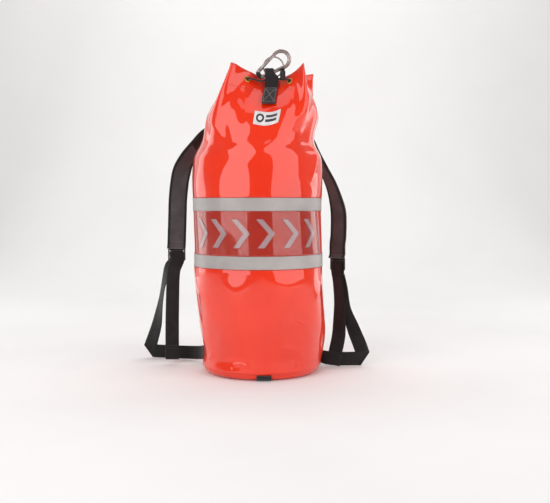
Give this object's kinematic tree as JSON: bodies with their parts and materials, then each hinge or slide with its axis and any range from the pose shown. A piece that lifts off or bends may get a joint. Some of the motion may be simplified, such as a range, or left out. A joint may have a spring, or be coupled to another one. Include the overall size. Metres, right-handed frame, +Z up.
{
  "type": "throw rope bag",
  "caption": "Tall cylindrical rescue rope bag in glossy coated fabric with drawcord mouth, snap hook on a webbing tab, reflective bands and two shoulder straps.",
  "frame": {"origin": "centre of the base's flat underside", "axes": "+Z up along the bag, -Y towards the marked front, +X to the right as seen from the front"},
  "size_m": [0.5126, 0.2753, 0.6618],
  "materials": {
    "red_pvc": "glossy coated fabric with soft creases",
    "insert_red": "satin darker red",
    "clear_vinyl": "clear glossy vinyl",
    "reflective_tape": "satin grey reflective tape",
    "black_webbing": "woven",
    "strap_face": "woven, brown-grey",
    "label_white": "woven label",
    "eyelet_brass": "polished",
    "steel": "polished",
    "black_plastic": "satin moulded plastic",
    "cord_dark": "braided",
    "board": "matt board"
  },
  "bodies": {
    "root": {"body_wall": "red_pvc", "mouth_hem_facing": "red_pvc", "back_seam_strip": "red_pvc", "base_panel": "red_pvc", "window_backing": "insert_red", "window_cover": "clear_vinyl", "lower_reflective_band": "reflective_tape", "upper_reflective_band": "reflective_tape", "chevron_1": "reflective_tape", "chevron_2": "reflective_tape", "chevron_3": "reflective_tape", "chevron_4": "reflective_tape", "chevron_5": "reflective_tape", "chevron_6": "reflective_tape", "base_handle": "black_webbing", "carabiner_tab": "black_webbing", "strap_anchor_patch": "black_webbing", "base_anchor_left": "black_webbing", "base_anchor_right": "black_webbing", "maker_label": "label_white", "eyelet_1": "eyelet_brass", "eyelet_2": "eyelet_brass", "eyelet_3": "eyelet_brass", "eyelet_4": "eyelet_brass", "eyelet_5": "eyelet_brass", "eyelet_6": "eyelet_brass", "eyelet_7": "eyelet_brass", "eyelet_8": "eyelet_brass", "eyelet_washer_1": "eyelet_brass", "eyelet_washer_2": "eyelet_brass", "eyelet_washer_3": "eyelet_brass", "eyelet_washer_4": "eyelet_brass", "eyelet_washer_5": "eyelet_brass", "eyelet_washer_6": "eyelet_brass", "eyelet_washer_7": "eyelet_brass", "eyelet_washer_8": "eyelet_brass", "drawcord": "cord_dark", "base_stiffener": "board"},
    "carabiner": {"carabiner_frame": "steel", "gate_pin": "steel", "hook_wrap": "black_webbing"},
    "gate": {"carabiner_gate": "steel", "gate_spring": "steel"},
    "ring": {"tab_ring": "steel"},
    "cord_lock": {"cord_lock_body": "black_plastic", "cord_lock_spring": "steel"},
    "lock_button": {"cord_lock_button": "black_plastic"},
    "strap_left": {"shoulder_pad_left": "strap_face", "shoulder_backing_left": "black_webbing", "buckle_loop_left": "black_webbing", "ladder_lock_left": "black_plastic", "lower_webbing_left": "black_webbing"},
    "strap_right": {"shoulder_pad_right": "strap_face", "shoulder_backing_right": "black_webbing", "buckle_loop_right": "black_webbing", "ladder_lock_right": "black_plastic", "lower_webbing_right": "black_webbing"}
  },
  "joints": [
    {"name": "carabiner_swing", "type": "hinge", "parent": "root", "child": "carabiner", "pos_m": [0.00249, -0.0655, 0.60828], "axis": [0.9164, 0, 0.4003], "range_deg": [0, 55]},
    {"name": "gate_open", "type": "hinge", "parent": "carabiner", "child": "gate", "pos_m": [-0.00128, -0.0655, 0.62386], "axis": [0, 1, 0], "range_deg": [0, 20], "stiffness_Nm_per_rad": 0.05, "springref_deg": -11.46},
    {"name": "ring_swing", "type": "hinge", "parent": "root", "child": "ring", "pos_m": [0.0235, -0.0598, 0.608], "axis": [1, 0, 0], "range_deg": [-30, 0]},
    {"name": "cord_lock_slide", "type": "slide", "parent": "root", "child": "cord_lock", "axis": [0.9205, -0.3907, 0], "range_m": [-0.0015, 0]},
    {"name": "lock_button_press", "type": "slide", "parent": "cord_lock", "child": "lock_button", "axis": [0, 0, -1], "range_m": [0, 0.0025], "stiffness_N_per_m": 800, "springref_m": -0.002, "deforming": ["cord_lock_spring"]},
    {"name": "strap_swing_left", "type": "hinge", "parent": "root", "child": "strap_left", "pos_m": [-0.024, 0.125, 0.52], "axis": [0.1975, 0.156, 0.9678], "range_deg": [-12, 4]},
    {"name": "strap_swing_right", "type": "hinge", "parent": "root", "child": "strap_right", "pos_m": [0.008, 0.125, 0.52], "axis": [-0.2078, 0.1286, 0.9697], "range_deg": [-1.5, 6.5]}
  ]
}
